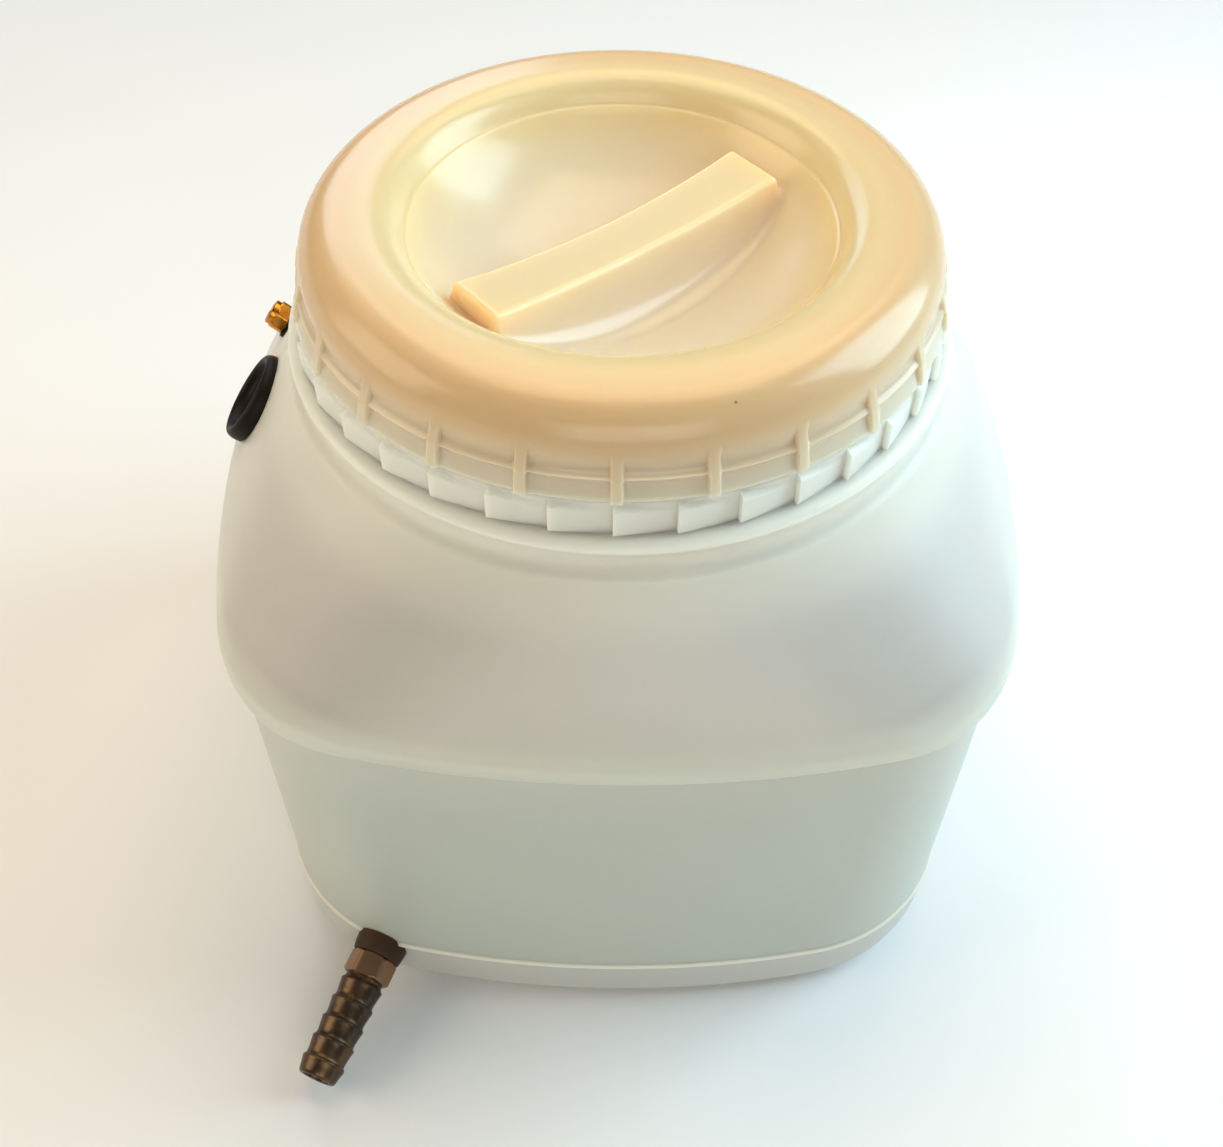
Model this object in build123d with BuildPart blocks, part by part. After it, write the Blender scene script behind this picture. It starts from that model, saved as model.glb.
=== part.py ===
from build123d import *
import math
import os

os.makedirs("parts", exist_ok=True)

# Squat rounded-square fermenting drum, about 25 litres, with a screw lid, a hose tail at
# the base, a grommet for an airlock in the left shoulder and a small brass gas fitting
# beside the neck. Millimetres, +Z up, front towards -Y, origin at the centre of the base.

# ---------------------------------------------------------------- driving dimensions
WALL = 2.6                 # drum wall
FLOOR = 3.2                # drum bottom
Z_BEAD = 284.0             # centre height of the bead ring round the neck
R_BEAD = 135.0             # bead ring radius
R_COLLAR = 128.0           # ratchet collar root radius
R_TOOTH = 131.0            # ratchet tooth tip radius
N_TEETH = 36               # ratchet teeth
TOOTH_0 = -91.1            # angle of the first tooth step, degrees
R_NECK = 114.0             # threaded neck, outside
R_MOUTH = 110.6            # threaded neck, inside
Z_COLLAR = Z_BEAD + 18.4   # top of the ratchet collar
Z_RIM = Z_BEAD + 44.0      # neck rim
PITCH = 12.0               # lid thread pitch
R_CREST = 117.0            # neck thread crest

R_SKIRT_IN = 118.2         # lid skirt bore
R_LID_CREST = 115.2        # lid thread crest
R_LID = 125.5              # lid rim outside
BAR_ANGLE = 40.0           # grip bar direction, degrees from +X
N_RIBS = 24                # skirt ribs
RIB_0 = -90.5              # angle of the first rib, degrees

BASE_A, BASE_RC, BASE_RB = 168.3, 80.0, 502.0     # base band: half width, corner, side radius
BASE_H = 33.0
BASE_FILLET = 12.0

# Outer sections of the drum wall: height, half width, corner radius, side bow radius
WALL_SECTIONS = [
    (34.5, 168.9, 80.6, 502.0),
    (190.0, 167.6, 62.0, 494.0),
]
SHOULDER_SECTIONS = [
    (192.6, 171.0, 65.0, 494.0),
    (197.0, 172.9, 70.0, 492.0),
    (203.0, 173.7, 78.0, 486.0),
    (209.0, 172.6, 87.0, 455.0),
    (216.0, 169.3, 97.0, 395.0),
    (224.0, 164.9, 106.0, 330.0),
    (233.0, 159.5, 115.0, 265.0),
    (242.0, 153.8, 122.5, 218.0),
    (251.0, 147.9, 128.5, 180.0),
    (259.0, 142.7, 132.0, 157.0),
    (265.0, 139.0, 134.0, 144.0),
    (270.0, 136.4, 135.4, 137.4),
]

# Hose tail: axis leaves the base band near the front left corner, a little downhill
TAP_POINT = (-110.8, -155.6, 26.1)
TAP_DIR = (-0.3689, -0.9131, -0.1736)
# Airlock grommet in the left shoulder
GRO_POINT = (-156.8, -5.0, 237.6)
GRO_DIR = (-0.7981, 0.0279, 0.6018)
# Gas fitting on the shoulder beside the neck, behind the grommet
GAS_POINT = (-147.3, 35.4, 247.0)
GAS_DIR = (-0.7999, 0.1440, 0.5826)


R_TAP_HOLE = 10.2
R_TAP_SHANK = 9.9          # G1/2 shank at its pitch diameter
TAP_WASHER = 6.0           # thick outer washer
TAP_HEX, TAP_AF, TAP_TURN = 11.0, 20.4, 12.0
TAP_IN = -9.0              # seat of the back nut inside the drum, along the tail
N_BARBS, BARB_PITCH, R_BARB, TAP_LENGTH = 5, 9.4, 10.35, 48.5
R_GRO_HOLE = 12.0          # hole for the grommet
R_STEM = 4.6               # grommet bore, for an airlock stem
R_GAS_HOLE = 5.1
R_GAS_SHANK = 4.86         # G1/8 shank
GAS_WASHER = 1.3           # thin washers of the gas fitting
GAS_IN = -5.0              # seat of the back nut inside the drum, along the fitting
BAR_TOP, BAR_DIP = 40.3, 5.0       # grip bar: height of its ends over the bead ring, sag of its middle
BAR_HALF, BAR_LENGTH = 12.8, 143.0 # half width at the top edge, length
DISH_Z = 8.0                       # lowest point of the dish over the bead ring
DISH_R, DISH_H = 88.0, 51.9        # half axes of the dish's elliptic section
RIB_W = 4.4                # skirt rib width


def dish(r, under=0.0):
    """Height of the dish over the bead ring at radius r, or of a surface that lies under it."""
    return DISH_Z + DISH_H - (DISH_H + under) * math.sqrt(1 - (r / (DISH_R + under)) ** 2)


def outline(a, rc, rb):
    """Points of a bowed rounded square: start and middle of its eight arcs, in order."""
    k = rb - a
    c = (-2 * k + math.sqrt(4 * k * k - 8 * (k * k - (rb - rc) ** 2))) / 4
    t = math.atan2(c, c + k)
    p1 = (a - rb + rb * math.cos(t), rb * math.sin(t))
    m = c + rc * math.sqrt(0.5)
    p = []
    for i in range(4):
        w = i * math.pi / 2
        for x, y in ((p1[0], -p1[1]), (a, 0.0), p1, (m, m)):
            p.append((x * math.cos(w) - y * math.sin(w), x * math.sin(w) + y * math.cos(w)))
    return p


def along(point, direction, s):
    return tuple(point[i] + direction[i] * s for i in range(3))


def across(point, direction, s=0.0, x_dir=None):
    """Plane square to a fitting's axis, s millimetres out from its seat."""
    return Plane(origin=along(point, direction, s), x_dir=x_dir, z_dir=direction)


def side_on(point, direction):
    """Plane that holds a fitting's axis: local X is the radius, local Y runs outwards."""
    z = Vector(*direction)
    x = Vector(0, 0, 1).cross(z).normalized()
    return Plane(origin=point, x_dir=x, z_dir=x.cross(z))


# ---------------------------------------------------------------- drum, outside shape
with BuildPart() as drum_outside:
    # base band with its rounded foot
    with BuildSketch(Plane.XY):
        with BuildLine():
            p = outline(BASE_A, BASE_RC, BASE_RB)
            for i in range(8):
                ThreePointArc(p[2 * i], p[2 * i + 1], p[(2 * i + 2) % 16])
        make_face()
    extrude(amount=BASE_H)
    fillet(drum_outside.faces().sort_by(Axis.Z)[0].edges(), BASE_FILLET)
    # thin ridge above the band
    with BuildSketch(Plane.XY.offset(BASE_H - 1.2)):
        with BuildLine():
            p = outline(BASE_A + 1.3, BASE_RC + 1.3, BASE_RB + 1.3)
            for i in range(8):
                ThreePointArc(p[2 * i], p[2 * i + 1], p[(2 * i + 2) % 16])
        make_face()
    extrude(amount=2.4)
    # lower wall
    for z, a, rc, rb in [(33.0,) + WALL_SECTIONS[0][1:], WALL_SECTIONS[1]]:
        with BuildSketch(Plane.XY.offset(z)):
            with BuildLine():
                p = outline(a, rc, rb)
                for i in range(8):
                    ThreePointArc(p[2 * i], p[2 * i + 1], p[(2 * i + 2) % 16])
            make_face()
    loft(ruled=True)
    # step under the bulge
    for z, a, rc, rb in [WALL_SECTIONS[1], SHOULDER_SECTIONS[0]]:
        with BuildSketch(Plane.XY.offset(z)):
            with BuildLine():
                p = outline(a, rc, rb)
                for i in range(8):
                    ThreePointArc(p[2 * i], p[2 * i + 1], p[(2 * i + 2) % 16])
            make_face()
    loft(ruled=True)
    # bulge and shoulder
    for z, a, rc, rb in SHOULDER_SECTIONS:
        with BuildSketch(Plane.XY.offset(z)):
            with BuildLine():
                p = outline(a, rc, rb)
                for i in range(8):
                    ThreePointArc(p[2 * i], p[2 * i + 1], p[(2 * i + 2) % 16])
            make_face()
    loft()
    # neck: waist, bead ring, ratchet collar and plain neck
    with BuildSketch(Plane.XZ):
        with BuildLine():
            Polyline((0, 268.0), (136.2, 268.0), (136.2, 270.0))
            ThreePointArc((136.2, 270.0), (133.6, 272.4), (132.6, 276.0))
            Line((132.6, 276.0), (132.6, Z_BEAD - 2.6))
            ThreePointArc((132.6, Z_BEAD - 2.6), (R_BEAD, Z_BEAD), (132.6, Z_BEAD + 2.6))
            Polyline(
                (132.6, Z_BEAD + 2.6),
                (R_COLLAR, Z_BEAD + 3.6),
                (R_COLLAR, Z_COLLAR),
                (R_NECK + 3.0, Z_COLLAR),
                (R_NECK, Z_COLLAR + 2.0),
                (R_NECK, Z_RIM - 0.8),
                (R_NECK - 0.8, Z_RIM),
                (0, Z_RIM),
                (0, 268.0),
            )
        make_face()
    revolve(axis=Axis.Z)
    # ratchet teeth round the collar: each steps out at its left edge and fades away
    with BuildSketch(Plane.XY.offset(Z_BEAD + 3.0)):
        with BuildLine():
            pts = []
            for i in range(N_TEETH):
                w = math.radians(TOOTH_0 + i * 360.0 / N_TEETH)
                pts.append(((R_COLLAR - 0.4) * math.cos(w), (R_COLLAR - 0.4) * math.sin(w)))
                pts.append((R_TOOTH * math.cos(w), R_TOOTH * math.sin(w)))
                v = w + math.radians(0.5 * 360.0 / N_TEETH)
                pts.append(((R_TOOTH - 1.4) * math.cos(v), (R_TOOTH - 1.4) * math.sin(v)))
            Polyline(*pts, pts[0])
        make_face()
    extrude(amount=14.6)

# ---------------------------------------------------------------- drum, hollow inside
with BuildPart() as drum_cavity:
    for z, a, rc, rb in [
        (FLOOR, BASE_A - 9.0, BASE_RC - 9.0, BASE_RB - 9.0),
        (FLOOR + 2.6, BASE_A - 3.4, BASE_RC - 3.4, BASE_RB - 3.4),
        (FLOOR + 9.0, BASE_A, BASE_RC, BASE_RB),
        (194.0, 167.2, 62.0, 494.0),
    ]:
        with BuildSketch(Plane.XY.offset(z)):
            with BuildLine():
                p = outline(a - WALL, rc - WALL, rb - WALL)
                for i in range(8):
                    ThreePointArc(p[2 * i], p[2 * i + 1], p[(2 * i + 2) % 16])
            make_face()
    loft(ruled=True)
    for z, a, rc, rb in [(194.0, 168.6, 63.0, 494.0)] + SHOULDER_SECTIONS[1:]:
        with BuildSketch(Plane.XY.offset(z)):
            with BuildLine():
                p = outline(a - WALL, rc - WALL, rb - WALL)
                for i in range(8):
                    ThreePointArc(p[2 * i], p[2 * i + 1], p[(2 * i + 2) % 16])
            make_face()
    loft()
    with BuildSketch(Plane.XZ):
        with BuildLine():
            Polyline(
                (0, 268.0),
                (133.2, 268.0),
                (129.9, 275.0),
                (129.9, Z_BEAD + 1.0),
                (125.2, Z_BEAD + 4.0),
                (125.2, Z_COLLAR - 2.8),
                (R_MOUTH + 2.4, Z_COLLAR - 2.8),
                (R_MOUTH, Z_COLLAR),
                (R_MOUTH, Z_RIM + 1.0),
                (0, Z_RIM + 1.0),
                (0, 268.0),
            )
        make_face()
    revolve(axis=Axis.Z)

# ---------------------------------------------------------------- drum body
with BuildPart() as drum_body:
    add(drum_outside.part)
    add(drum_cavity.part, mode=Mode.SUBTRACT)
    # neck thread, one and a quarter turns, right handed
    with BuildLine() as neck_helix:
        Helix(pitch=PITCH, height=1.25 * PITCH, radius=R_NECK - 0.3, center=(0, 0, Z_BEAD + 23.2))
    with BuildSketch(Plane(origin=neck_helix.line @ 0, x_dir=(1, 0, 0), z_dir=neck_helix.line % 0)):
        with BuildLine():
            Polyline(
                (0, -3.4),
                (R_CREST - R_NECK + 0.3, -2.2),
                (R_CREST - R_NECK + 0.3, 2.2),
                (0, 3.4),
                (0, -3.4),
            )
        make_face()
    sweep(path=neck_helix.line, is_frenet=True)
    # holes for the hose tail, the grommet and the gas fitting
    with BuildSketch(across(TAP_POINT, TAP_DIR, -16.0, (0, 0, 1))):
        Circle(R_TAP_HOLE)
    extrude(amount=32.0, mode=Mode.SUBTRACT)
    with BuildSketch(across(GRO_POINT, GRO_DIR, -14.0, (0, 1, 0))):
        Circle(R_GRO_HOLE)
    extrude(amount=28.0, mode=Mode.SUBTRACT)
    with BuildSketch(across(GAS_POINT, GAS_DIR, -8.0, (0, 0, 1))):
        Circle(R_GAS_HOLE)
    extrude(amount=14.0, mode=Mode.SUBTRACT)
drum_body.part.label = "drum_body"
export_step(drum_body.part, "parts/drum_body.step")

# ---------------------------------------------------------------- screw lid
with BuildPart() as lid_shell:
    # skirt, rolled rim, wall of the dish and seal seat, heights above the bead ring
    with BuildSketch(Plane.XZ.shift_origin((0, 0, Z_BEAD))):
        with BuildLine():
            Polyline((125.8, 19.5), (129.2, 19.5), (129.0, 22.0), (126.6, 27.3))
            ThreePointArc((126.6, 27.3), (127.5, 28.5), (126.2, 29.7))
            Polyline((126.2, 29.7), (125.3, 31.4), (R_LID, 35.5))
            ThreePointArc((R_LID, 35.5), (R_LID - 5.126, 47.874), (R_LID - 17.5, 53.0))
            ThreePointArc((R_LID - 17.5, 53.0), (98.0, 53.5), (91.6, 53.6))
            ThreePointArc((91.6, 53.6), (88.9, 52.5), (87.4, 50.2))
            Polyline(
                (87.4, 50.2),
                (83.5, 43.5),
                (81.0, 39.0),
                (84.6, 38.4),
                (90.2, 48.6),
                (92.6, 50.5),
                (104.0, 50.3),
                (106.4, 49.6),
                (106.4, 47.0),
                (115.5, 47.0),
                (115.5, 42.6),
                (R_SKIRT_IN, 42.6),
                (R_SKIRT_IN, 24.5),
                (125.8, 21.0),
                (125.8, 19.5),
            )
        make_face()
    revolve(axis=Axis.Z)
    # dished floor, a shell 3 mm thick
    with BuildSketch(Plane.XZ.shift_origin((0, 0, Z_BEAD))):
        with BuildLine():
            ThreePointArc((83.5, dish(83.5)), (79.0, dish(79.0)), (73.0, dish(73.0)))
            ThreePointArc((73.0, dish(73.0)), (64.0, dish(64.0)), (52.0, dish(52.0)))
            ThreePointArc((52.0, dish(52.0)), (28.0, dish(28.0)), (0, dish(0)))
            Line((0, dish(0)), (0, dish(0, 3.0)))
            ThreePointArc((0, dish(0, 3.0)), (28.0, dish(28.0, 3.0)), (52.0, dish(52.0, 3.0)))
            ThreePointArc((52.0, dish(52.0, 3.0)), (64.0, dish(64.0, 3.0)), (73.0, dish(73.0, 3.0)))
            ThreePointArc((73.0, dish(73.0, 3.0)), (79.0, dish(79.0, 3.0)), (84.6, dish(84.6, 3.0)))
            Line((84.6, dish(84.6, 3.0)), (83.5, dish(83.5)))
        make_face()
    revolve(axis=Axis.Z)
    # ribs down the skirt
    for i in range(N_RIBS):
        w = math.radians(RIB_0 + i * 360.0 / N_RIBS)
        with BuildSketch(Plane(origin=(0, 0, Z_BEAD), x_dir=(math.cos(w), math.sin(w), 0), z_dir=(math.sin(w), -math.cos(w), 0))):
            with BuildLine():
                Polyline(
                    (122.0, 38.2),
                    (125.3, 38.2),
                    (126.3, 34.0),
                    (128.6, 28.6),
                    (130.3, 21.5),
                    (130.3, 19.5),
                    (127.0, 19.5),
                    (121.5, 30.0),
                    (122.0, 38.2),
                )
            make_face()
        extrude(amount=RIB_W / 2, both=True)
    # lid thread in the gap of the neck thread
    with BuildLine() as lid_helix:
        Helix(pitch=PITCH, height=0.8 * PITCH, radius=R_SKIRT_IN + 0.3, center=(0, 0, Z_BEAD + 29.2))
    with BuildSketch(Plane(origin=lid_helix.line @ 0, x_dir=(-1, 0, 0), z_dir=lid_helix.line % 0)):
        with BuildLine():
            Polyline(
                (0, -3.4),
                (R_SKIRT_IN + 0.3 - R_LID_CREST, -2.2),
                (R_SKIRT_IN + 0.3 - R_LID_CREST, 2.2),
                (0, 3.4),
                (0, -3.4),
            )
        make_face()
    sweep(path=lid_helix.line, is_frenet=True)

# grip bar across the dish, hollow underneath, its sides sweeping into the floor
BAR_U = (math.sin(math.radians(BAR_ANGLE)), -math.cos(math.radians(BAR_ANGLE)), 0)
BAR_V = (math.cos(math.radians(BAR_ANGLE)), math.sin(math.radians(BAR_ANGLE)), 0)
BAR_PLANE = Plane(origin=(0, 0, Z_BEAD), x_dir=BAR_V, z_dir=BAR_U)
BAR_END = BAR_LENGTH / 2
with BuildPart() as dish_under:
    # everything below the middle of the dish's shell
    with BuildSketch(Plane.XZ.shift_origin((0, 0, Z_BEAD))):
        with BuildLine():
            ThreePointArc((0, dish(0, 1.5)), (28.0, dish(28.0, 1.5)), (52.0, dish(52.0, 1.5)))
            ThreePointArc((52.0, dish(52.0, 1.5)), (64.0, dish(64.0, 1.5)), (73.0, dish(73.0, 1.5)))
            ThreePointArc((73.0, dish(73.0, 1.5)), (79.0, dish(79.0, 1.5)), (84.0, dish(84.0, 1.5)))
            Polyline((84.0, dish(84.0, 1.5)), (84.0, -20.0), (0, -20.0), (0, dish(0, 1.5)))
        make_face()
    revolve(axis=Axis.Z)
with BuildPart() as bar_block:
    with BuildSketch(Plane(origin=(-BAR_END * BAR_V[0], -BAR_END * BAR_V[1], Z_BEAD), x_dir=(-BAR_U[0], -BAR_U[1], 0), z_dir=BAR_V)):
        with BuildLine():
            ThreePointArc((-30.0, DISH_Z + 1.0), (-19.6, 15.0), (-BAR_HALF - 2.4, 33.0))
            Polyline((-BAR_HALF - 2.4, 33.0), (-BAR_HALF, BAR_TOP + 2.0), (BAR_HALF, BAR_TOP + 2.0), (BAR_HALF + 2.4, 33.0))
            ThreePointArc((BAR_HALF + 2.4, 33.0), (19.6, 15.0), (30.0, DISH_Z + 1.0))
            Polyline((30.0, DISH_Z + 1.0), (30.0, DISH_Z - 1.0), (-30.0, DISH_Z - 1.0), (-30.0, DISH_Z + 1.0))
        make_face()
    extrude(amount=BAR_LENGTH)
    # the top sags between its ends
    with BuildSketch(BAR_PLANE):
        with BuildLine():
            ThreePointArc((-BAR_END - 1.0, BAR_TOP), (0, BAR_TOP - BAR_DIP), (BAR_END + 1.0, BAR_TOP))
            Polyline((BAR_END + 1.0, BAR_TOP), (BAR_END + 1.0, 0), (-BAR_END - 1.0, 0), (-BAR_END - 1.0, BAR_TOP))
        make_face()
    extrude(amount=40.0, both=True, mode=Mode.INTERSECT)
    add(dish_under.part, mode=Mode.SUBTRACT)
with BuildPart() as bar_pocket:
    with BuildSketch(Plane(origin=(-68.5 * BAR_V[0], -68.5 * BAR_V[1], Z_BEAD), x_dir=(-BAR_U[0], -BAR_U[1], 0), z_dir=BAR_V)):
        with BuildLine():
            Polyline(
                (-BAR_HALF - 3.4, DISH_Z - 12.0),
                (-BAR_HALF + 1.4, 30.0),
                (-BAR_HALF + 3.0, BAR_TOP - BAR_DIP - 3.0),
                (BAR_HALF - 3.0, BAR_TOP - BAR_DIP - 3.0),
                (BAR_HALF - 1.4, 30.0),
                (BAR_HALF + 3.4, DISH_Z - 12.0),
                (-BAR_HALF - 3.4, DISH_Z - 12.0),
            )
        make_face()
    extrude(amount=137.0)
with BuildPart() as screw_lid:
    add(lid_shell.part)
    add(bar_block.part)
    add(bar_pocket.part, mode=Mode.SUBTRACT)
screw_lid.part.label = "screw_lid"
export_step(screw_lid.part, "parts/screw_lid.step")

# ---------------------------------------------------------------- lid seal
with BuildPart() as lid_seal:
    with BuildSketch(Plane.XY.offset(Z_RIM + 0.04)):
        Circle(115.0)
        Circle(108.4, mode=Mode.SUBTRACT)
    extrude(amount=2.92)
    fillet(lid_seal.edges().filter_by(GeomType.CIRCLE), 0.6)
lid_seal.part.label = "lid_seal"
export_step(lid_seal.part, "parts/lid_seal.step")

# ---------------------------------------------------------------- hose tail and its seals
TAP_AXIS = Axis(TAP_POINT, TAP_DIR)
with BuildPart() as hose_tail:
    with BuildSketch(side_on(TAP_POINT, TAP_DIR)):
        with BuildLine():
            pts = [(6.5, -19.0), (9.4, -19.0), (R_TAP_SHANK, -18.0), (R_TAP_SHANK, TAP_WASHER), (9.0, TAP_WASHER)]
            s0 = TAP_WASHER + TAP_HEX
            pts += [(9.0, s0 + 1.6)]
            for i in range(N_BARBS):
                c = s0 + 3.2 + i * BARB_PITCH
                pts += [(R_BARB, c), (R_BARB, c + 0.9)]
                if i < N_BARBS - 1:
                    pts += [(9.1, c + BARB_PITCH - 1.4)]
            tip = s0 + TAP_LENGTH
            pts += [(8.6, tip - 1.0), (7.8, tip), (6.5, tip), (6.5, -19.0)]
            Polyline(*pts)
        make_face()
    revolve(axis=TAP_AXIS)
    with BuildSketch(across(TAP_POINT, TAP_DIR, TAP_WASHER, (0, 0, 1))):
        RegularPolygon(TAP_AF / 2, 6, major_radius=False, rotation=TAP_TURN)
        Circle(8.0, mode=Mode.SUBTRACT)
    extrude(amount=TAP_HEX)
    # bevel the hex corners on the outer end
    with BuildSketch(side_on(TAP_POINT, TAP_DIR)):
        with BuildLine():
            Polyline(
                (14.0, s0 - 2.4),
                (14.0, s0 + 0.5),
                (TAP_AF / 2 - 0.1, s0 + 0.5),
                (TAP_AF / 2 - 0.1, s0),
                (14.0, s0 - 2.4),
            )
        make_face()
    revolve(axis=TAP_AXIS, mode=Mode.SUBTRACT)
hose_tail.part.label = "hose_tail"
export_step(hose_tail.part, "parts/hose_tail.step")

with BuildPart() as tap_outer_washer:
    with BuildSketch(across(TAP_POINT, TAP_DIR, -5.0, (0, 0, 1))):
        Circle(13.0)
        Circle(R_TAP_HOLE, mode=Mode.SUBTRACT)
    extrude(amount=5.0 + TAP_WASHER)
    add(drum_outside.part, mode=Mode.SUBTRACT)
tap_outer_washer.part.label = "tap_outer_washer"
export_step(tap_outer_washer.part, "parts/tap_outer_washer.step")

with BuildPart() as tap_inner_washer:
    with BuildSketch(across(TAP_POINT, TAP_DIR, TAP_IN, (0, 0, 1))):
        Circle(13.5)
        Circle(R_TAP_HOLE, mode=Mode.SUBTRACT)
    extrude(amount=8.0)
    add(drum_cavity.part, mode=Mode.INTERSECT)
tap_inner_washer.part.label = "tap_inner_washer"
export_step(tap_inner_washer.part, "parts/tap_inner_washer.step")

with BuildPart() as tap_backnut:
    with BuildSketch(across(TAP_POINT, TAP_DIR, TAP_IN - 7.02, (0, 0, 1))):
        RegularPolygon(13.5, 6, major_radius=False)
        Circle(R_TAP_SHANK, mode=Mode.SUBTRACT)
    extrude(amount=7.0)
tap_backnut.part.label = "tap_backnut"
export_step(tap_backnut.part, "parts/tap_backnut.step")

# ---------------------------------------------------------------- airlock grommet
GRO_AXIS = Axis(GRO_POINT, GRO_DIR)
with BuildPart() as grommet_inner:
    with BuildSketch(across(GRO_POINT, GRO_DIR, -8.0, (0, 1, 0))):
        Circle(14.4)
    extrude(amount=8.0)
    add(drum_cavity.part, mode=Mode.INTERSECT)
with BuildPart() as airlock_grommet:
    with BuildSketch(side_on(GRO_POINT, GRO_DIR)):
        with BuildLine():
            Polyline((R_STEM, -5.0), (20.0, -5.0), (20.0, 2.6))
            ThreePointArc((20.0, 2.6), (19.2, 4.6), (17.4, 5.3))
            ThreePointArc((17.4, 5.3), (15.8, 4.6), (14.9, 3.0))
            Polyline((14.9, 3.0), (12.6, 0.9), (6.2, 0.2), (R_STEM, -1.0), (R_STEM, -5.0))
        make_face()
    revolve(axis=GRO_AXIS)
    add(drum_outside.part, mode=Mode.SUBTRACT)
    with BuildSketch(across(GRO_POINT, GRO_DIR, -8.0, (0, 1, 0))):
        Circle(R_GRO_HOLE)
    extrude(amount=7.0)
    add(grommet_inner.part)
    with BuildSketch(across(GRO_POINT, GRO_DIR, -9.0, (0, 1, 0))):
        Circle(R_STEM)
    extrude(amount=16.0, mode=Mode.SUBTRACT)
airlock_grommet.part.label = "airlock_grommet"
export_step(airlock_grommet.part, "parts/airlock_grommet.step")

# ---------------------------------------------------------------- gas fitting and its seals
GAS_AXIS = Axis(GAS_POINT, GAS_DIR)
with BuildPart() as gas_fitting:
    with BuildSketch(side_on(GAS_POINT, GAS_DIR)):
        with BuildLine():
            Polyline(
                (2.0, -13.0),
                (4.2, -13.0),
                (R_GAS_SHANK, -12.3),
                (R_GAS_SHANK, 2.4),
                (5.7, 2.4),
                (5.7, 9.4),
                (5.0, 10.2),
                (4.0, 10.2),
                (3.6, 9.8),
                (3.6, 2.8),
                (2.0, 1.6),
                (2.0, -13.0),
            )
        make_face()
    revolve(axis=GAS_AXIS)
    with BuildSketch(across(GAS_POINT, GAS_DIR, GAS_WASHER, (0, 0, 1))):
        RegularPolygon(6.3, 6, major_radius=False, rotation=10)
        Circle(4.2, mode=Mode.SUBTRACT)
    extrude(amount=6.5)
    with BuildSketch(side_on(GAS_POINT, GAS_DIR)):
        with BuildLine():
            Polyline(
                (8.2, GAS_WASHER + 5.2),
                (8.2, GAS_WASHER + 7.0),
                (6.2, GAS_WASHER + 7.0),
                (6.2, GAS_WASHER + 6.5),
                (8.2, GAS_WASHER + 5.2),
            )
        make_face()
    revolve(axis=GAS_AXIS, mode=Mode.SUBTRACT)
gas_fitting.part.label = "gas_fitting"
export_step(gas_fitting.part, "parts/gas_fitting.step")

with BuildPart() as gas_outer_washer:
    with BuildSketch(across(GAS_POINT, GAS_DIR, -1.5, (0, 0, 1))):
        Circle(7.4)
        Circle(R_GAS_HOLE, mode=Mode.SUBTRACT)
    extrude(amount=GAS_WASHER + 1.5)
    add(drum_outside.part, mode=Mode.SUBTRACT)
gas_outer_washer.part.label = "gas_outer_washer"
export_step(gas_outer_washer.part, "parts/gas_outer_washer.step")

with BuildPart() as gas_inner_washer:
    with BuildSketch(across(GAS_POINT, GAS_DIR, GAS_IN, (0, 0, 1))):
        Circle(7.4)
        Circle(R_GAS_HOLE, mode=Mode.SUBTRACT)
    extrude(amount=4.6)
    add(drum_cavity.part, mode=Mode.INTERSECT)
gas_inner_washer.part.label = "gas_inner_washer"
export_step(gas_inner_washer.part, "parts/gas_inner_washer.step")

with BuildPart() as gas_backnut:
    with BuildSketch(across(GAS_POINT, GAS_DIR, GAS_IN - 4.52, (0, 0, 1))):
        RegularPolygon(7.0, 6, major_radius=False)
        Circle(R_GAS_SHANK, mode=Mode.SUBTRACT)
    extrude(amount=4.5)
gas_backnut.part.label = "gas_backnut"
export_step(gas_backnut.part, "parts/gas_backnut.step")
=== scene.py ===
import math

import bpy
import bmesh
import numpy as np
from mathutils import Matrix, Vector


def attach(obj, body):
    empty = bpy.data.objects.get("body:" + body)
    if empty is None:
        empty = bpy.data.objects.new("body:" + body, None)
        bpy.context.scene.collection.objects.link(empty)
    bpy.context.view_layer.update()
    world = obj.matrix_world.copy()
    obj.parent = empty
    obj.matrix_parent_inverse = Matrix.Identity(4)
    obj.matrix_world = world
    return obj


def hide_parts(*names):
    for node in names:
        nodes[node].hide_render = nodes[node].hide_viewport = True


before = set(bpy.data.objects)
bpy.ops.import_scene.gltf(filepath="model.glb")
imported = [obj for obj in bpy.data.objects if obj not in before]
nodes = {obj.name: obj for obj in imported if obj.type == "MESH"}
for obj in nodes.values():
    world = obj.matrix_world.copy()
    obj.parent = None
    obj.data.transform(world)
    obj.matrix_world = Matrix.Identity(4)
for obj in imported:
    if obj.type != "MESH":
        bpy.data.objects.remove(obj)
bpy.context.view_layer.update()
MM = 0.001

# ------------------------------------------------------------------ dimensions, mm
ZB = 284.0
R_BEAD = 135.0
R_COLLAR = 128.0
R_TOOTH = 131.0
N_TEETH = 36
TOOTH_0 = -91.1
R_NECK = 114.0
R_MOUTH = 110.6
Z_COLLAR = ZB + 18.4
Z_RIM = ZB + 44.0
PITCH = 12.0
WALL = 2.6
N_RIBS = 24
RIB_0 = -90.5
BAR_ANGLE = math.radians(40.0)

TAP_P, TAP_D = np.array((-110.8, -155.6, 26.1)), np.array((-0.3689, -0.9131, -0.1736))
GRO_P, GRO_D = np.array((-156.8, -5.0, 237.6)), np.array((-0.7981, 0.0279, 0.6018))
GAS_P, GAS_D = np.array((-147.3, 35.4, 247.0)), np.array((-0.7999, 0.1440, 0.5826))


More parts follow.
